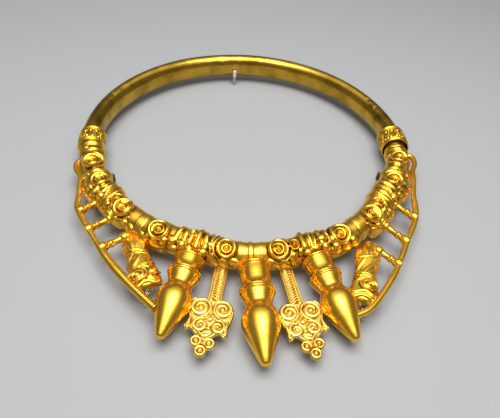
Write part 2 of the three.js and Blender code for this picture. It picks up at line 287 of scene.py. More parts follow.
def gold(name, bright, deep, roughness, grain, scratch, patches=0.32):
    """Gold with painted shade in the grooves of its relief and a deeper tone in random patches, with fine
    wear in its roughness and bump.
    """
    material, nodes, links, shader = node_material(name)
    shader.inputs["Metallic"].default_value = 1.0
    cloud = object_noise(nodes, links, PATCH_SCALE, 5)
    fine = object_noise(nodes, links, GRAIN_SCALE, 4)
    lines = object_noise(nodes, links, SCRATCH_SCALE, 3, SCRATCH_STRETCH)

    # Painted shade: the per-vertex groove amount darkens the base colour towards the deep tone.
    groove = nodes.new("ShaderNodeAttribute")
    groove.attribute_name = "painted_shade"
    tone = nodes.new("ShaderNodeMath")
    tone.operation = "MULTIPLY_ADD"
    tone.inputs[1].default_value = PAINTED_SHADE_TONE
    links.new(groove.outputs["Fac"], tone.inputs[0])
    links.new(remapped(nodes, links, cloud, 0.42, 0.75, 0, patches), tone.inputs[2])
    links.new(blended(nodes, links, tone.outputs["Value"], bright, deep), shader.inputs["Base Color"])

    rough = remapped(nodes, links, fine, 0.3, 0.7, roughness * 0.94, roughness * 1.08)
    links.new(rough, shader.inputs["Roughness"])
    scratched = bumped(nodes, links, lines, scratch)
    links.new(bumped(nodes, links, fine, grain, scratched), shader.inputs["Normal"])
    return material


def mottled(name, dark, pale, roughness, metallic, scale):
    """A plain surface that wanders between two tones."""
    material, nodes, links, shader = node_material(name)
    shader.inputs["Metallic"].default_value = metallic
    shader.inputs["Roughness"].default_value = roughness
    noise = object_noise(nodes, links, scale)
    links.new(blended(nodes, links, noise, dark, pale), shader.inputs["Base Color"])
    return material


def clear_material():
    material, nodes, links, shader = node_material("peg_clear")
    shader.inputs["Base Color"].default_value = (0.97, 0.98, 0.98, 1)
    shader.inputs["Transmission Weight"].default_value = 1.0
    shader.inputs["IOR"].default_value = 1.49
    noise = object_noise(nodes, links, 500)
    links.new(remapped(nodes, links, noise, 0, 1, 0.02, 0.12), shader.inputs["Roughness"])
    return material


# Golds: (name, bright tone, deep tone, roughness, grain, scratches, patches); the deep tone serves both as
# painted groove shade and as the tone of random patches
POLISHED = gold("gold_polished", (1.0, 0.57, 0.06), (0.6, 0.26, 0.012), 0.28, 0.002, 0.004)
# The hoop's gold has wear patches and scratches, and both its tones are darkened as a painted dark
# reflection.
WORN_PAINTED_DARK = gold("gold_worn_painted_dark", (0.62, 0.38, 0.045), (0.2, 0.11, 0.01), 0.25, 0.006, 0.03, 0.9)
RELIEF = gold("gold_relief", (1.0, 0.59, 0.065), (0.16, 0.055, 0.002), 0.32, 0.006, 0.006)
MATTE = gold("gold_matte", (0.95, 0.75, 0.2), (0.42, 0.18, 0.012), 0.36, 0.02, 0.0)
PIN_METAL = mottled("pin_metal", (0.42, 0.41, 0.39), (0.62, 0.6, 0.57), 0.38, 0.85, 900)
PALE_SLEEVE = mottled("pale_sleeve", (0.62, 0.58, 0.5), (0.8, 0.77, 0.7), 0.45, 0.0, 600)
# Near-black sleeve for the side pins: painted shadow, as they stand in the ring's shade.
PAINTED_SHADOW_SLEEVE = mottled("painted_shadow_sleeve", (0.02, 0.02, 0.02), (0.05, 0.05, 0.05), 0.45, 0.0, 600)
CLEAR = clear_material()

# ---- Rear hoop ----------------------------------------------------------------------------------
HOOP_SKIN = 0.2  # how far the smooth hoop lies inside the nominal oval
DENTS = [(111.5, -40, 3.4, 0.4), (114.8, -12, 2.4, 0.35), (108.6, -20, 1.8, 0.3), (104, -62, 2.8, 0.25),
         (189, -35, 4, 0.15), (240, -30, 5, 0.25), (247, -10, 3, 0.2)]


def rear_hoop():
    angles = np.linspace(HOOP_FROM, HOOP_TO, 420)
    turn = np.linspace(0, 360, 72, endpoint=False)
    away = angles[:, None]
    sink = 0.05 * np.sin(np.radians(away * 7 + 2 * turn)) * np.sin(np.radians(away * 2.3))
    for place, centre, size, depth in DENTS:
        along = (away - place) * math.radians(1) * HOOP_RADIUS
        around = (((turn - centre + 180) % 360) - 180) * math.radians(1) * HOOP_HALF_HEIGHT
        sink = sink - depth * hump(np.hypot(along, around) / size)
    across = (HOOP_HALF_WIDTH - HOOP_SKIN + sink) * np.sin(np.radians(turn))
    rise = (HOOP_HALF_HEIGHT - HOOP_SKIN + sink) * np.cos(np.radians(turn))
    points, faces = tube(arc_rows(angles, HOOP_RADIUS, across, rise))
    add_piece("rear_hoop_skin", points, faces, WORN_PAINTED_DARK, "rear_hoop")


# ---- Carved front ring --------------------------------------------------------------------------
FRONT_RADIUS, FRONT_TUBE = 83.4, 5.55
FRONT_FROM, FRONT_TO = -83.1, 87.3
PLUG_RADIUS, PLUG_FROM = 5.6, 85.2
LEAN = 20
# How far the ring swells along its inner edge, place by place.
SWELLS = [(-84, 0.2), (-80, 0.6), (-75, 1.1), (-70, 0.5), (-66, 0.5), (-57, 0.7), (-52.5, 1.4), (-47.5, 0.6),
          (-41, 0.9), (-36.5, 0.5), (-30, 1.5), (-24, 1.2), (-18, 1.8), (-13, 1.3), (-6, 0.4), (-1.3, 0.0),
          (4, 0.3), (9, 0.5), (15, 1.3), (20, 0.8), (26, 0.4), (31, 0.3), (35.6, 0.4), (40, 1.0), (46, 1.7),
          (51, 1.9), (56, 1.5), (63, 1.9), (69, 0.8), (76, 0.5), (82, 0.2), (88, 0.0)]
# Bosses: (place, size, where the coil opens in degrees)
BOSSES = [(-71, 1.0, 60), (-60.4, 0.98, 150), (-44.7, 1.06, 200), (-29.8, 1.1, 130), (-8.5, 0.96, 0),
          (6.7, 1.02, 210), (27.3, 1.12, 170), (42.1, 1.06, 330), (62.6, 1.04, 120), (76.1, 1.02, 40)]
EYE = -8.5  # the one boss that has plain rings and no coil
MIDDLE = -1.3  # the place of the middle cord band, which has fine ribs beside it
# Small curls: (place, turn, radius)
CURLS = [(-48.8, 0, 3.0), (-19.6, -16, 2.4), (11.6, 12, 2.5), (47.8, -4, 2.9)]
# Cord bands: (place, cords, pitch, height)
BANDS = [(-36.5, 3, 1.15, 0.5), (-1.3, 3, 0.7, 0.5), (35.6, 3, 1.15, 0.5), (-81.6, 2, 1.2, 0.9)]
# Rolls that cross the ring: (place, half width, height, slant, how far round they reach in degrees)
ROLLS = [
    (-78, 1.0, 1.0, 0.1, 95), (-66, 1.8, 1.3, 0.25, 95), (-64, 0.7, 0.9, 0.25, 95),
    (-57, 0.95, 1.1, -0.16, 95), (-55.3, 0.8, 0.9, -0.16, 95), (-53.6, 1.05, 1.25, -0.16, 95),
    (-51.7, 0.9, 1.0, -0.14, 95), (-23.6, 1.2, 1.2, 0.1, 42), (-21.5, 1.1, 1.15, 0.06, 42),
    (-19.4, 1.0, 1.0, 0.04, 42), (-17.1, 1.3, 1.45, 0.02, 42), (-14.9, 1.1, 1.25, -0.04, 42),
    (-13, 0.9, 1.1, -0.1, 42), (14.7, 1.35, 1.6, 0.08, 42), (16.9, 0.7, 1.1, 0.1, 42),
    (18.3, 0.7, 1.1, 0.12, 42), (20.6, 1.3, 1.3, 0.1, 42), (22.9, 0.9, 1.0, 0.05, 42),
    (50.3, 0.75, 0.95, 0.14, 95), (52, 0.75, 0.95, 0.14, 95), (53.7, 0.75, 0.9, 0.14, 95),
    (56, 1.15, 1.3, 0.14, 95), (58.6, 1.0, 1.15, 0.18, 95), (69.6, 1.5, 1.3, -0.2, 95),
    (67.6, 0.7, 0.9, -0.2, 95), (81.9, 1.3, 1.2, 0.0, 95), (84.2, 0.9, 0.6, 0.0, 95),
]
NECKS = [(-56, 1.6), (-36.5, 3.4), (-1.3, 2.4), (35.6, 3.4), (56.1, 1.6)]
# Scalloped hems: (place, half length in degrees, reach)
HEMS = [(-60, 4.8, 2.9), (-48.5, 6.0, 1.4), (-33.5, 8.0, 1.1), (-8.7, 5.8, 0.5), (8.7, 6.0, 1.0),
        (28.2, 6.6, 1.6), (45.4, 7.0, 2.7), (62.6, 5.4, 3.6)]
HEM_TURN, HEM_SAG = 119, 5  # the turn of a hem's edge at its middle, and how far its ends rise, in degrees
HEM_LUMPS = (-0.6, -0.02, 0.54)  # leaf-like lumps over each hem, as shares of its half length
GUSSETS = [(-72.5, 7.0, 1.9), (71.5, 6.2, 2.3), (78.5, 4.0, 2.0)]
# Rounded lumps: (place, turn, radius, height)
LUMPS = [
    (-79.4, 24, 1.5, 1.1), (-66, 46, 1.5, 1.1), (-60.9, 56, 1.5, 1.2), (-57.6, 47, 1.9, 1.8),
    (-54.8, 46, 1.7, 1.6), (-50.4, 50, 1.4, 1.1), (-48, 40, 1.8, 1.7), (-45.2, 56, 1.5, 1.2),
    (-41.8, 62, 1.4, 1.0), (-32.4, 64, 1.4, 1.1), (-29.6, 60, 1.6, 1.4), (-27, 50, 1.7, 1.6),
    (-24.6, 40, 1.8, 1.6), (-24, 66, 1.6, 1.3), (-21.6, 44, 1.8, 1.6), (-19.2, 60, 1.6, 1.3),
    (-17.3, 36, 1.7, 1.5), (-15.2, 54, 1.6, 1.3), (-13.2, 16, 1.5, 1.3), (-12.6, 62, 1.4, 1.1),
    (10.8, 52, 1.7, 1.5), (13.2, 42, 1.4, 1.2), (15.6, 52, 1.6, 1.3), (18.2, 40, 1.6, 1.4),
    (21.2, 50, 1.9, 1.7), (21, 8, 1.8, 1.7), (24, 26, 1.6, 1.5), (24.7, 56, 1.6, 1.5), (27.9, 64, 1.5, 1.3),
    (31, 62, 1.3, 1.0), (41.9, 60, 1.6, 1.3), (45, 50, 1.7, 1.5), (47.7, 40, 1.4, 1.2), (55.8, 46, 1.8, 1.7),
    (58.4, 58, 1.4, 1.2), (60.8, 50, 1.7, 1.5), (64.4, 54, 1.5, 1.2), (79.8, 26, 1.5, 1.2),
]
# Crescents that hug the bosses: (boss place, distance, half width, height, from, sweep), turning from the
# ring's +angle direction towards its outer side.
CRESCENTS = [
    (-8.5, 5.5, 0.6, 1.3, 110, 140), (-8.5, 6.9, 0.6, 1.2, 120, 120), (6.7, 5.7, 0.7, 1.4, -70, 140),
    (-44.7, 5.9, 0.65, 1.4, 20, 130), (-44.7, 7.3, 0.6, 1.1, 40, 100), (42.1, 5.9, 0.65, 1.3, 20, 140),
    (42.1, 7.3, 0.6, 1.1, 30, 100), (27.3, 6.2, 0.6, 1.0, -150, 110), (-60.4, 5.7, 0.6, 1.1, -60, 130),
    (62.6, 5.8, 0.6, 1.1, 110, 130), (-71, 5.8, 0.7, 1.3, -170, 160), (76.1, 5.9, 0.7, 1.3, 150, 160),
]


def front_line(angle):
    """The radius of the ring's centre line: its right arm is pressed in and its right end stands out."""
    return FRONT_RADIUS - 1.1 * hump((angle - 56) / 16) + 0.9 * smoothstep(70, 82, angle)


def boss_shape(x, y, opens, coiled):
    """Height of a boss of size 1 over the tube: a fat rim, a dish, a coil or a ring in it, and a bead."""
    reach = np.hypot(x, y)
    share = ((np.arctan2(y, x) - math.radians(opens)) / (2 * math.pi)) % 1
    rim = 2.45 * dome((reach - 3.65) / 1.0)
    coil = 1.5 * dome((reach - 2.5 + 0.9 * share) / 0.55) if coiled else 1.3 * dome((reach - 1.9) / 0.6)
    bead = 2.1 * dome(reach / (1.05 if coiled else 0.95))
    dish = 0.55 * smoothstep(4.8, 4.2, reach)
    return np.maximum.reduce([rim, coil, bead, dish]), reach


def front_ring():
    angles = np.linspace(FRONT_FROM, FRONT_TO, 700)
    # Columns lie closer together over the top and the outer side, where the relief is.
    fine = np.linspace(-180, 180, 721)
    spread = np.cumsum(1 + 1.4 * smoothstep(-80, -50, fine) * (1 - smoothstep(130, 145, fine)))
    spread = (spread - spread[0]) / (spread[-1] - spread[0])
    columns = 140
    turn = np.interp(np.arange(columns) / columns, spread, fine)
    a, f = angles[:, None], turn[None, :]

    def local(place, centre):
        x = (a - place) * math.radians(1) * FRONT_RADIUS
        y = (((f - centre + 180) % 360) - 180) * math.radians(1) * (FRONT_TUBE + 0.7)
        return x, y

    def lean(place):
        return LEAN * math.cos(math.radians(place)) ** 2

    body = smooth_profile(SWELLS, angles)[:, None] * (0.3 + 0.7 * smoothstep(75, 10, np.abs(f + 50)))
    height = body
    for place, half in NECKS:
        height = height - 0.35 * hump((a - place) / half)
    for offset in (2.6, 3.7, 4.8):
        height = height + 0.16 * dome((np.abs(local(MIDDLE, 0)[0]) - offset) / 0.42)

    def raise_to(shape):
        nonlocal height
        height = np.maximum(height, shape)

    def raise_by(shape):
        raise_to(np.where(shape > 0, body + shape, -9))

    def hem_line(place, half):
        """How fully the hem stands, and the distance from its curved edge."""
        s = np.clip((a - place) / half, -1, 1)
        return np.sqrt(np.clip(1 - s**4, 0, 1)), local(place, HEM_TURN - HEM_SAG * s**2)[1]

    # Hems: the ring swells down and outwards to a thin scalloped edge with a groove over it.
    for place, half, reach in HEMS:
        fade, y = hem_line(place, half)
        body = np.maximum(body, 0.95 * reach * fade * smoothstep(-9.5, -2.5, y) * smoothstep(1.4, 0.2, y))
    height = np.maximum(height, body)
    for place, half, reach in HEMS:
        fade, y = hem_line(place, half)
        height = height - 0.7 * hump((y + 1.25) / 0.95) * fade
        raise_to((reach + 0.65) * dome(y / 0.5) * fade)
        for share in HEM_LUMPS:
            x, y = local(place + share * half, 89 - 9 * share**2)
            raise_by(0.95 * dome(np.hypot(x - 0.35 * y, 0.8 * y) / (0.3 * half + 0.7)) ** 1.5)
    for place, half, reach in GUSSETS:
        x, y = local(place, 92)
        fold = 0.14 * np.cos(x * 2 * math.pi / 1.9)
        raise_to((reach + fold) * hump((a - place) / half) ** 0.4 * hump(y / 3.2) ** 0.8)
    for place, half, top, slant, limit in ROLLS:
        x, y = local(place, 10)
        bend = 0.35 * np.sin(np.radians(f) * 2.3 + place)
        ends = smoothstep(limit + 14, limit - 14, np.where(f > 0, f, -f - 40))
        swing = 0.82 + 0.18 * np.cos(np.radians(f) * 5 + place * 2)
        raise_by(top * swing * dome((x + slant * y + bend) / half) * ends)
    for place, centre, radius, top in LUMPS:
        x, y = local(place, centre)
        stretch = 1 + 0.22 * math.sin(place * 7)
        raise_by(1.1 * top * dome(np.hypot(x / stretch, y * stretch) / (1.4 * radius)) ** 1.6)
    for place, distance, half, top, start, sweep in CRESCENTS:
        x, y = local(place, lean(place))
        round_it = (np.degrees(np.arctan2(y, x)) - start) % 360
        swell = np.where(round_it < sweep, np.sin(np.pi * np.clip(round_it / sweep, 0, 1)), 0)
        ridge = dome((np.hypot(x, y) - distance) / (half * (0.35 + 0.65 * swell)))
        raise_by(top * ridge * (swell > 0.05))
    for place, centre, radius in CURLS:
        x, y = local(place, centre)
        shape, reach = boss_shape(x * 4.65 / radius, y * 4.65 / radius, place * 9, False)
        height = np.where(reach < 4.65, np.maximum(0.9 * shape, np.where(reach > 3.7, height, 0)), height)
    for place, size, opens in BOSSES:
        x, y = local(place, lean(place))
        shape, reach = boss_shape(x / size, y / size, opens, place != EYE)
        height = np.where(reach < 4.65, np.maximum(shape, np.where(reach > 3.7, height, 0)), height)
    for place, cords, pitch, top in BANDS:
        x, y = local(place, 0)
        for k in range(cords):
            offset = (k - (cords - 1) / 2) * pitch
            inside = np.abs(x - offset) < 0.52 * pitch
            height = np.where(inside, 0.7 * body + top * dome((x - offset) / (0.52 * pitch)), height)
    waver = 0.06 * np.sin(a * 1.3 + np.radians(f) * 2) * np.sin(a * 0.37 + 1)
    plug = smoothstep(PLUG_FROM - 0.5, PLUG_FROM + 0.3, a)
    radius = (FRONT_TUBE + height + waver) * (1 - plug) + PLUG_RADIUS * plug
    across = radius * np.sin(np.radians(f))
    rise = radius * np.cos(np.radians(f))
    sides = ring_points(angles, 1.0, 0.0)
    centres = ring_points(angles, front_line(angles), 0.0)
    ups = np.broadcast_to([0.0, 0.0, 1.0], sides.shape)
    points, faces = tube(swept(centres, sides, ups, across, rise))
    # Painted shade in the grooves of the carving.
    painted_shade = with_caps(painted_groove_shade(height, 5, 0.7))
    add_piece("front_ring_carving", points, faces, RELIEF, "front_ring", painted_shade, 80)


# ---- Collars ------------------------------------------------------------------------------------
def collar(name, node, radius, end, belly, start, stop, mouth=None):
    angles = np.linspace(start, stop, 110)
    turn = np.linspace(0, 360, 160, endpoint=False)
    place = ((angles - start) / (stop - start))[:, None]
    length = (stop - start) * math.radians(1) * radius
    x = (place - 0.5) * length
    body = end + (belly - 0.9 - end) * np.sin(np.pi * place)
    relief = np.zeros((len(angles), len(turn)))
    for offset in (0.6, 1.7):
        for side in (-1, 1):
            relief = np.maximum(relief, 0.6 * dome((x - side * (length / 2 - offset)) / 0.55))
    # Zigzag cords with a bead in each triangle.
    count = 13
    phase = (turn[None, :] / 360 * count) % 1
    zigzag = (np.abs(phase - 0.5) * 4 - 1) * (length / 2 - 3.3)
    relief = np.maximum(relief, 0.45 * dome((x - zigzag) / 0.85))
    pitch = 2 * math.pi * belly / count
    for centre, side in ((0.5, 1), (0.0, -1)):
        away = ((phase - centre + 0.5) % 1 - 0.5) * pitch
        spot = np.hypot(away, x - side * (length / 2 - 3.9))
        relief = np.maximum(relief, 0.5 * dome(spot / 0.85))
    reach = body + relief
    across = reach * np.sin(np.radians(turn))
    rise = reach * np.cos(np.radians(turn))
    rows = arc_rows(angles, radius, across, rise)
    # Painted shade in the grooves of the chased relief.
    painted_shade = painted_groove_shade(relief, 4, 0.35)
    if mouth:
        # The wall turns in at the mouth and runs down to the floor of the socket, whose rows take full
        # painted shade.
        inner = []
        for angle, size in ((start + mouth["depth"], mouth["radius"]), (start + 0.15, mouth["radius"]),
                            (start, mouth["radius"] + 0.35)):
            inner.append(arc_rows(np.array([angle]), mouth["centre"],
                                  size * np.sin(np.radians(turn))[None],
                                  size * np.cos(np.radians(turn))[None])[0])
        rows = np.concatenate([np.array(inner), rows])
        painted_shade = np.concatenate([np.full((3, len(turn)), 1.0), painted_shade])
    points, faces = tube(rows)
    add_piece(name, points, faces, RELIEF, node, with_caps(painted_shade), 75)


# ---- Buds ---------------------------------------------------------------------------------------
BUD_BODY = [(-12, 6.8), (-9.4, 6.7), (-7.2, 6.7), (-5.4, 6.6), (-3.4, 6.4), (-2.0, 6.3), (-1.3, 6.35),
            (-0.4, 6.5), (0.8, 6.95), (2.2, 7.2), (3.6, 7.15), (5.6, 6.5), (7.4, 5.85), (8.6, 5.7),
            (9.8, 5.95), (11.8, 6.95), (14, 7.75), (16, 8.0), (18.8, 7.75), (23.2, 6.4), (27.2, 4.8),
            (30.4, 3.5), (32.9, 2.4), (34, 1.75), (34.4, 1.1), (34.55, 0.3)]
BUD_CORDS = [(1.5, 0.55, 0.55), (2.8, 0.55, 0.5)]
RIM_CORDS = [(0.75, 0.55, 0.45), (2.0, 0.45, 0.2)]  # measured from where the socket leaves the ring
SOCKET_START = 6.3  # from the ring's centre line to the socket's rim
BUD_DROOP = 3.4  # degrees
BUD_COLUMNS = 96
# Buds: (node, ring angle, direction, distance to the neck, size)
BUDS = [("left_bud", -18.5, -15.9, 12.9, 0.95), ("centre_bud", -0.5, 2.7, 17.2, 1.0),
        ("right_bud", 17.9, 15.8, 14.7, 0.95)]


def bud(node, at, angle, neck, size):
    start = (SOCKET_START - neck) / size
    along = np.concatenate([start + np.linspace(0, 0.6, 12), np.linspace(start + 0.7, 5, 200),
                            np.linspace(5.2, 34.55, 130)])
    body = smooth_profile(BUD_BODY, along) * (0.62 + 0.38 * dome(1 - np.clip((along - start) / 0.6, 0, 1)))
    cords = np.zeros_like(along)
    for place, half, top in BUD_CORDS + [(start + place, half, top) for place, half, top in RIM_CORDS]:
        cords = np.maximum(cords, top * dome((along - place) / half))
    profile = np.stack([neck + along * size, (body + cords) * size], -1)
    origin = ring_points(np.array([at]), FRONT_RADIUS, 0.0)[0][:2]
    points, faces = tube(turned_rows(profile, origin, angle, BUD_COLUMNS, BUD_DROOP))
    # Painted shade in the grooves beside the cords.
    deep = np.clip((blurred(np.tile(cords[:, None], (1, 3)), 4, True)[:, 0] - cords) / 0.3, 0, 1)
    painted_shade = with_caps(np.tile(deep[:, None], (1, BUD_COLUMNS)))
    add_piece(node + "_turned", points, faces, POLISHED, node, painted_shade)


# ---- Palmette plaques ---------------------------------------------------------------------------
PLATE_BOTTOM, PLATE_TOP = -4.4, -3.45
STRAP_HALF, STRAP_END = 3.1, 22.0
# Plaques: (node, where the strap starts, direction in degrees, side that the longer lobes point to)
PLAQUES = [("left_palmette_plaque", (-14.1, -85.6), -10.2, -1),
           ("right_palmette_plaque", (13.6, -87.2), 8.5, 1)]
CELL = 0.18
PALMETTE = [(20.2, 2.6), (18.9, 5.2), (19.8, 8.2), (22.2, 9.8), (25.6, 10), (28.2, 9), (30.6, 9.2),
            (33.2, 10.1), (34.7, 9.4), (34.3, 7.4), (35.4, 6), (37.2, 3.9), (38.2, 1), (37.2, -1.6),
            (35.6, -3.4), (35.6, -4.8), (36.6, -6.2), (35.8, -7.7), (33.2, -7.5), (30.2, -8.1),
            (27, -8.8), (23.6, -8.7), (20.6, -7.2), (19.2, -4.6), (20.2, -1.9)]
DROPS = [(39.4, 3.9), (39.9, -1.3), (43.4, 1.5)]
DROP_RADIUS = 2.45


def closed_curve(knots, count):
    """A smooth closed curve through the knots."""
    p = np.asarray(knots, float)
    p = np.concatenate([p[-1:], p, p[:2]])
    return np.concatenate([cubic_span(*p[k:k + 4], count) for k in range(len(knots))])


PALMETTE_EDGE = closed_curve(PALMETTE, 8)


def outside_of(edge, u, v):
    """Signed distance from a closed curve, negative inside."""
    best = np.full(u.shape, 1e9)
    inside = np.zeros(u.shape, bool)
    for (x0, y0), (x1, y1) in zip(edge, np.roll(edge, -1, axis=0)):
        dx, dy = x1 - x0, y1 - y0
        t = np.clip(((u - x0) * dx + (v - y0) * dy) / (dx * dx + dy * dy), 0, 1)
        best = np.minimum(best, (u - x0 - t * dx) ** 2 + (v - y0 - t * dy) ** 2)
        crosses = ((y0 > v) != (y1 > v)) & (u < x0 + dx * (v - y0) / (dy if dy else 1e-9))
        inside ^= crosses
    return np.where(inside, -1, 1) * np.sqrt(best)


def plaque_outline(u, v):
    strap = np.maximum(np.abs(v) - STRAP_HALF, np.maximum(-2 - u, u - STRAP_END))
    drops = [np.hypot(u - x, v - y) - DROP_RADIUS for x, y in DROPS]
    stalk = np.hypot(u - 38.6, v - 1.2) - 1.9
    return np.minimum.reduce([strap, outside_of(PALMETTE_EDGE, u, v), *drops, stalk])


def spiral(centre, outer, inner, start, turns, count=200):
    t = np.linspace(0, 1, count)
    theta = math.radians(start) + 2 * math.pi * turns * t
    reach = outer + (inner - outer) * t
    return np.stack([centre[0] + reach * np.cos(theta), centre[1] + reach * np.sin(theta)], -1)


def bent(points, count=70):
    return catmull(points, count)[0]


# Raised lines of the palmette: (curve, half width at its middle, height)
PALMETTE_LINES = [
    (spiral((24.2, 5.0), 4.1, 1.5, 235, -1.35), 1.2, 1.15),
    (spiral((24.1, -4.2), 3.9, 1.4, 125, 1.35), 1.2, 1.15),
    (spiral((32.3, 3.6), 3.2, 1.1, 200, -1.2), 1.05, 1.05),
    (spiral((32.4, -3.5), 3.0, 1.1, 160, 1.2), 1.05, 1.05),
    (bent([(20.8, 2.4), (23.6, 0.9), (27.0, 1.9), (28.9, 4.4)]), 0.7, 0.8),
    (bent([(20.8, -1.8), (23.6, -0.7), (26.8, -1.6), (28.7, -4.0)]), 0.7, 0.8),
    (bent([(29.2, 7.9), (31.6, 8.4), (33.9, 8.7), (33.6, 7.2)]), 0.85, 0.95),
    (bent([(29.8, -7.1), (32.6, -6.9), (35.4, -7), (35, -5.6)]), 0.85, 0.95),
    (bent([(35.6, 3.6), (36.9, 1.2), (35.8, -1.2)]), 0.85, 0.9),
]
PALMETTE_BEADS = [(24.3, 4.8, 1.0), (24.2, -4.1, 0.95), (29, 0.2, 1.3), (32.4, 3.4, 0.75), (32.4, -3.3, 0.75),
                  (33.4, 0.1, 0.9), (26.6, 0.2, 0.7)]


def ribbon(curve, half, u, v):
    """1 along a curve's middle, falling to 0 at its edge, and narrower towards its ends."""
    relief = np.zeros_like(u)
    share = np.linspace(0, 1, len(curve))
    widths = half * (0.5 + 0.5 * np.sin(np.pi * share))
    for (x, y), width in zip(curve, widths):
        relief = np.maximum(relief, 1 - ((u - x) ** 2 + (v - y) ** 2) / width**2)
    return np.sqrt(relief)


def plaque_relief(u, v):
    border = np.maximum(dome((np.abs(v) - 2.7) / 0.38), 0.55 * dome((np.abs(v) - 1.55) / 0.3))
    strand = ((u / 1.3 + v * 0.55) % 1) - 0.5
    rope = np.sqrt(np.clip(1 - (v / 1.35) ** 2, 0, None)) * (0.95 * dome(strand / 0.44) - 0.1)
    edge = -plaque_outline(u, v)
    relief = 0.5 * dome((edge - 0.42) / 0.4)
    for curve, half, top in PALMETTE_LINES:
        relief = np.maximum(relief, top * ribbon(curve, half, u, v))
    for x, y, radius in PALMETTE_BEADS:
        relief = np.maximum(relief, 1.0 * dome(np.hypot(u - x, v - y) / radius))
    for x, y in DROPS:
        reach = np.hypot(u - x, v - y)
        inside = reach < DROP_RADIUS + 0.3
        relief = np.where(inside, 0.8 * dome((reach - 1.75) / 0.65), relief)
        relief = np.maximum(relief, 1.15 * dome(reach / 0.85))
    return np.where(u < 20, np.maximum(0.45 * border, rope), relief)


def plate_from_grid(u, v, outline, top, bottom):
    """A plate whose edge follows outline = 0: grid points just outside are drawn in to it."""
    du = (plaque_outline(u + 0.01, v) - plaque_outline(u - 0.01, v)) / 0.02
    dv = (plaque_outline(u, v + 0.01) - plaque_outline(u, v - 0.01)) / 0.02
    slope = np.maximum(du * du + dv * dv, 0.2)
    near = (outline > 0) & (outline < 1.1 * CELL)
    u = np.where(near, u - outline * du / slope, u)
    v = np.where(near, v - outline * dv / slope, v)
    kept = outline < 1.1 * CELL
    cells = kept[:-1, :-1] & kept[1:, :-1] & kept[1:, 1:] & kept[:-1, 1:]
    used = np.zeros(kept.shape, bool)
    for di in (0, 1):
        for dj in (0, 1):
            used[di:di + cells.shape[0], dj:dj + cells.shape[1]] |= cells
    index = np.full(kept.shape, -1)
    index[used] = np.arange(used.sum())
    count = used.sum()
    i, j = np.nonzero(cells)
    quads = np.stack([index[i, j], index[i + 1, j], index[i + 1, j + 1], index[i, j + 1]], -1)
    faces = quads.tolist() + (quads[:, ::-1] + count).tolist()
    padded = np.pad(cells, 1)
    for di, dj, first, second in ((0, -1, (0, 0), (1, 0)), (1, 0, (1, 0), (1, 1)),
                                  (0, 1, (1, 1), (0, 1)), (-1, 0, (0, 1), (0, 0))):
        open_side = cells & ~padded[1 + di:1 + di + cells.shape[0], 1 + dj:1 + dj + cells.shape[1]]
        i, j = np.nonzero(open_side)
        start, end = index[i + first[0], j + first[1]], index[i + second[0], j + second[1]]
        faces += np.stack([end, start, start + count, end + count], -1).tolist()
    top_points = np.stack([u[used], v[used], top[used]], -1)
    bottom_points = np.stack([u[used], v[used], np.full(count, bottom)], -1)
    return np.concatenate([top_points, bottom_points]), faces, used


def plaque(node, origin, angle, side):
    u, v = np.meshgrid(np.arange(-1.2, 46.2, CELL), np.arange(-9.6, 10.9, CELL), indexing="ij")
    outline = plaque_outline(u, v)
    relief = plaque_relief(u, v)
    soft_edge = 0.25 * smoothstep(0.35, -0.05, -outline)
    points, faces, used = plate_from_grid(u, v, outline, PLATE_TOP + relief - soft_edge, PLATE_BOTTOM)
    # Painted shade in the grooves of the filigree.
    painted_shade = painted_groove_shade(relief, 3, 0.3, False)[used]
    axis = ring_points(np.array([angle]), 1.0, 0.0)[0]
    outward = side * np.array([-axis[1], axis[0], 0.0])
    placed = np.array([*origin, 0.0]) + points[:, :1] * axis + points[:, 1:2] * outward
    placed[:, 2] = points[:, 2]
    if side < 0:
        faces = [tuple(reversed(face)) for face in faces]
    add_piece(node + "_filigree", placed, faces, MATTE, node,
              np.concatenate([painted_shade, np.zeros(len(painted_shade))]), 60)


# ---- Figure ornaments ---------------------------------------------------------------------------
def figure(node, start, end, height, stations, belts, hems, discs):
    """A small draped form: folds run down it, slanting cords belt it, and coiled discs sit on its skirt."""
    start, end = np.array([*start, height]), np.array([*end, height])
    length = np.linalg.norm(end - start)
    axis = (end - start) / length
    side = np.cross(axis, [0.0, 0.0, 1.0])
    place = np.linspace(0, 1, 260)
    turn = np.linspace(0, 2 * math.pi, 130, endpoint=False)
    widths = smooth_profile([(p, w) for p, w, _ in stations], place)[:, None]
    thick = smooth_profile([(p, t) for p, _, t in stations], place)[:, None]
    across, rise = widths * np.sin(turn), thick * np.cos(turn)
    p = place[:, None]
    wave = np.cos(6 * turn + 5 * np.sin(p * 6))
    relief = 0.42 * wave * np.abs(wave) ** 0.3 * smoothstep(0.02, 0.15, p) * (1 - smoothstep(0.88, 0.96, p))
    for where, half, top, slant in belts:
        away = (p - where) * length + slant * np.sin(turn)
        relief = np.maximum(relief, top * dome(away / half))
    for where, half, top in hems:
        away = (p - where) * length + 0.5 * np.cos(5 * turn)
        relief = np.maximum(relief, top * dome(away / half))
    for where, aside, radius in discs:
        reach = np.hypot((p - where) * length, across - aside) / radius
        shape = np.interp(reach, [0, 0.13, 0.24, 0.34, 0.46, 0.58, 0.68, 0.82, 0.92, 1.02],
                          [1.9, 1.7, 0.9, 0.9, 1.5, 1.4, 0.85, 1.7, 1.6, 0.0])
        upper = (np.cos(turn) > -0.1) & (reach < 1.02)
        relief = np.where(upper, np.maximum(shape, relief * (reach > 0.9)), relief)
    scale = 1 + relief / np.hypot(across, rise).clip(1, None)
    centres = start + place[:, None] * (end - start)
    sides = np.broadcast_to(side, centres.shape)
    ups = np.broadcast_to([0.0, 0.0, 1.0], centres.shape)
    points, faces = tube(swept(centres, sides, ups, across * scale, rise * scale))
    # Painted shade in the folds and grooves of the drapery.
    painted_shade = with_caps(painted_groove_shade(relief, 4, 0.5))
    add_piece(node + "_drapery", points, faces, RELIEF, node, painted_shade, 80)


# ---- Side wires and struts ----------------------------------------------------------------------
WIRE_COLUMNS, STRUT_COLUMNS = 28, 32
RIB_PITCH = 1.05


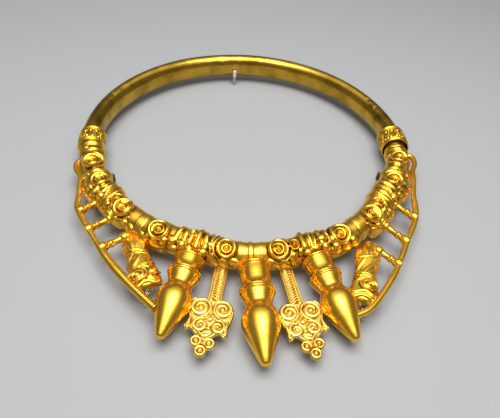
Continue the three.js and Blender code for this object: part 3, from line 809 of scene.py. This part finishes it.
def side_wire(node, route, radius, end_radius, ribbed):
    centres, along = catmull(route, 420)
    centres = np.column_stack([centres, np.zeros(len(centres))])
    tangents = np.gradient(centres, axis=0)
    tangents /= np.linalg.norm(tangents, axis=1, keepdims=True)
    sides = np.cross(tangents, [0.0, 0.0, 1.0])
    ups = np.broadcast_to([0.0, 0.0, 1.0], centres.shape)
    share = along / along[-1]
    size = radius + (end_radius - radius) * smoothstep(0.58, 0.68, share)
    size = size + 0.08 * np.sin(share * 31) * np.sin(share * 13 + 1)
    deep = np.zeros_like(size)
    if ribbed:
        ribs = (0.5 + 0.5 * np.cos(2 * math.pi * along / RIB_PITCH)) * smoothstep(0.56, 0.64, share)
        deep = smoothstep(0.56, 0.64, share) - ribs
        size = size - 0.13 * deep
    turn = np.linspace(0, 2 * math.pi, WIRE_COLUMNS, endpoint=False)
    across, rise = size[:, None] * np.sin(turn), size[:, None] * np.cos(turn)
    points, faces = tube(swept(centres, sides, ups, across, rise))
    # Painted shade in the grooves between the ribs.
    painted_shade = with_caps(np.tile(deep[:, None] * 0.6, (1, WIRE_COLUMNS)))
    add_piece(node + "_drawn", points, faces, RELIEF, node, painted_shade)


STRUT_BODY = [(0, 1.6), (0.1, 2.3), (0.2, 2.4), (0.31, 1.55), (0.44, 1.35), (0.55, 1.5), (0.64, 1.95),
              (0.71, 1.45), (0.79, 2.0), (0.9, 2.4), (1, 2.1)]


def strut(node, inner, outer):
    dx, dy = outer[0] - inner[0], outer[1] - inner[1]
    length = math.hypot(dx, dy)
    along = np.linspace(0, 1, 90)
    radii = smooth_profile(STRUT_BODY, along)
    angle = math.degrees(math.atan2(dx, -dy))
    rows = turned_rows(np.stack([along * length, radii], -1), inner, angle, STRUT_COLUMNS)
    points, faces = tube(rows)
    # Painted shade on the thinner, sunken parts of the turning.
    painted_shade = with_caps(np.tile((1.6 - radii.clip(1.1, 1.6))[:, None], (1, STRUT_COLUMNS)))
    add_piece(node + "_turned", points, faces, RELIEF, node, painted_shade)


# ---- Display pins and pegs ----------------------------------------------------------------------
PIN_GAP = 0.3  # between a pin's arm and the ring over it


def upright(x, y, radius, low, high, columns=28):
    heights = np.array([low, high - 0.5, high - 0.25, high - 0.08, high])
    radii = radius * np.array([1, 1, 0.93, 0.75, 0.4])
    turn = np.linspace(0, 2 * math.pi, columns, endpoint=False)
    rows = np.stack([
        x + radii[:, None] * np.cos(turn), y + radii[:, None] * np.sin(turn),
        np.broadcast_to(heights[:, None], (5, columns)),
    ], -1)
    return rows


def arm_rows(x, y, angle, reach, width, top):
    along = np.array([0, 0.12, 0.3, reach - 0.5, reach - 0.15, reach])
    shrink = np.array([0.7, 0.93, 1, 1, 0.85, 0.5])
    axis = ring_points(np.array([angle]), 1.0, 0.0)[0]
    side = np.array([-axis[1], axis[0], 0.0])
    turn = np.linspace(0, 2 * math.pi, 24, endpoint=False)
    centres = np.array([x, y, top - width / 2]) + along[:, None] * axis
    across = shrink[:, None] * width * np.sin(turn)
    rise = shrink[:, None] * width / 2 * np.cos(turn)
    return swept(centres, np.broadcast_to(side, centres.shape),
                 np.broadcast_to([0.0, 0.0, 1.0], centres.shape), across, rise)


def pin(node, angle, radius, tip, underside, reach, sleeve):
    x, y, _ = ring_points(np.array([angle]), radius, 0.0)[0]
    shaft = tube(upright(x, y, 0.8, -RING_HEIGHT, tip - 4.2))
    arm = tube(arm_rows(x, y, angle, reach, 1.4, -underside - PIN_GAP))
    points, faces = joined(shaft, arm)
    add_piece(node + "_shaft", points, faces, PIN_METAL, node)
    points, faces = tube(upright(x, y, 1.1, tip - 4.5, tip))
    add_piece(node + "_sleeve", points, faces, sleeve, None)


def peg(node, x, y, angle, top):
    post = tube(upright(x, y, 1.5, -RING_HEIGHT, top))
    arm = tube(arm_rows(x, y, angle + 180, 6.0, 1.3, top - 3.2))
    points, faces = joined(post, arm)
    add_piece(node + "_acrylic", points, faces, CLEAR, node)


# ---- Build --------------------------------------------------------------------------------------
rear_hoop()
front_ring()
collar("left_collar_chased", "left_collar", 84.0, 6.3, 7.6, -91.5, -83.3)
collar("right_collar_chased", "right_collar", 84.8, 7.0, 8.3, 86.3, 95.1,
       {"radius": 6.6, "depth": 2.1, "centre": 84.55})
for row in BUDS:
    bud(*row)
for row in PLAQUES:
    plaque(*row)
figure("left_figure_ornament", (-55.4, -70.7), (-45.6, -99.4), -2,
       [(0, 3, 2.2), (0.12, 4.3, 2.8), (0.24, 5.4, 3.2), (0.4, 4.5, 2.8), (0.5, 4.9, 3.2), (0.62, 5.7, 3.2),
        (0.74, 5, 3), (0.9, 6.5, 3), (1, 5.9, 2.2)],
       [(0.36, 0.7, 0.6, 1.6), (0.42, 0.7, 0.65, 1.6), (0.66, 0.6, 0.5, -1.2)],
       [(0.7, 0.7, 0.6), (0.97, 0.75, 0.6)], [(0.83, 2.2, 3.7), (0.8, -3.6, 2.3)])
figure("right_figure_ornament", (54.5, -75.2), (44.2, -107.2), -2,
       [(0, 3, 2.4), (0.12, 4.5, 3), (0.22, 5.5, 3.4), (0.4, 5, 3.1), (0.55, 4.4, 2.9), (0.68, 4.8, 3.1),
        (0.86, 6.2, 3.1), (0.96, 6.5, 2.9), (1, 6.2, 2.3)],
       [(0.3, 0.7, 0.5, -1.5), (0.6, 0.6, 0.6, 0.4), (0.645, 0.6, 0.6, 0.4)],
       [(0.69, 0.6, 0.55), (0.9, 0.75, 0.6), (0.97, 0.6, 0.5)], [(0.785, -1.2, 3.3)])
side_wire("left_side_wire",
          [(-85.4, -18), (-88.3, -22.6), (-87.6, -27.5), (-84.9, -32.5), (-83.8, -40), (-82.9, -48.5),
           (-81.5, -56.2), (-74, -69.6), (-63.4, -86), (-53, -98.8), (-41, -111.3)], 1.42, 1.9, True)
side_wire("right_side_wire",
          [(89, -9.6), (92.4, -12.4), (92.2, -18.3), (89.3, -24.6), (87.2, -33.8), (84.2, -44),
           (81.1, -58.8), (71.1, -77), (60.6, -94.8), (47.7, -110.6), (39, -115.6)], 1.42, 1.42, False)
STRUTS = {
    "left": [((-71.4, -49.2), (-81, -57)), ((-64.5, -60.3), (-75.4, -69)), ((-56.2, -72), (-67.6, -79.8))],
    "right": [((71, -48.2), (81, -60)), ((62.7, -63.3), (72.4, -75.7)), ((55.6, -79.4), (65.2, -89.2))],
}
for side_name, ends in STRUTS.items():
    for number, (inner, outer) in enumerate(ends, 1):
        strut(f"{side_name}_strut_{number}", inner, outer)
pin("back_pin", -177.1, 78.2, -0.5, HOOP_HALF_HEIGHT, 5.4, PALE_SLEEVE)
# The side pins take the near-black sleeve, which is painted shadow.
pin("left_pin", -67.4, 75.4, -1.4, FRONT_TUBE, 6.4, PAINTED_SHADOW_SLEEVE)
pin("right_pin", 71.2, 75.4, -1.4, FRONT_TUBE, 6.4, PAINTED_SHADOW_SLEEVE)
peg("left_front_peg", -45.8, -101.6, -13, -2.6)
peg("right_front_peg", 44.4, -110, 13, -2.6)

# ---- Floor, light and camera --------------------------------------------------------------------
def make_floor():
    half = 1.6
    mesh = bpy.data.meshes.new("floor")
    corners = [(-half, -half, 0), (half, -half, 0), (half, half, 0), (-half, half, 0)]
    mesh.from_pydata(corners, [], [(0, 1, 2, 3)])
    material, _, _, shader = node_material("floor")
    shader.inputs["Base Color"].default_value = (0.36, 0.365, 0.37, 1)
    shader.inputs["Roughness"].default_value = 0.85
    mesh.materials.append(material)
    floor = bpy.data.objects.new("floor", mesh)
    bpy.context.scene.collection.objects.link(floor)
    floor.location.z = -0.0002


def area_light(name, place, target, size, power, colour=(1, 1, 1)):
    data = bpy.data.lights.new(name, "AREA")
    data.shape = "RECTANGLE"
    data.size, data.size_y = size
    data.energy = power
    data.color = colour
    light = bpy.data.objects.new(name, data)
    light.location = to_row(place)
    aim = Vector(to_row(target)) - light.location
    light.rotation_euler = aim.to_track_quat("-Z", "Y").to_euler()
    bpy.context.scene.collection.objects.link(light)


def make_camera():
    """The photograph's viewpoint: its place, the point on the ring's plane it looks at, and its roll."""
    place, target, roll = Vector((-20.1, -226.0, 169.9)), Vector((-0.5, -54.4, 0.0)), 5.125
    data = bpy.data.cameras.new("camera")
    data.lens, data.sensor_width = 36.0, 36.0
    data.clip_start, data.clip_end = 0.01, 20
    camera = bpy.data.objects.new("camera", data)
    camera.location = to_row(place)
    aimed = (target - place).to_track_quat("-Z", "Y").to_matrix()
    camera.rotation_euler = (aimed @ Matrix.Rotation(math.radians(roll), 3, "Z")).to_euler()
    bpy.context.scene.collection.objects.link(camera)
    bpy.context.scene.camera = camera


make_floor()
area_light("key", (0, -140, 640), (0, -60, 0), (0.5, 0.42), 5.4)
area_light("top", (0, -20, 620), (0, -40, 0), (1.1, 1.1), 2.4)
world = bpy.data.worlds.new("studio")
world.use_nodes = True
world.node_tree.nodes["Background"].inputs["Color"].default_value = (0.17, 0.17, 0.17, 1)
bpy.context.scene.world = world
bpy.context.scene.view_settings.view_transform = "Standard"
make_camera()
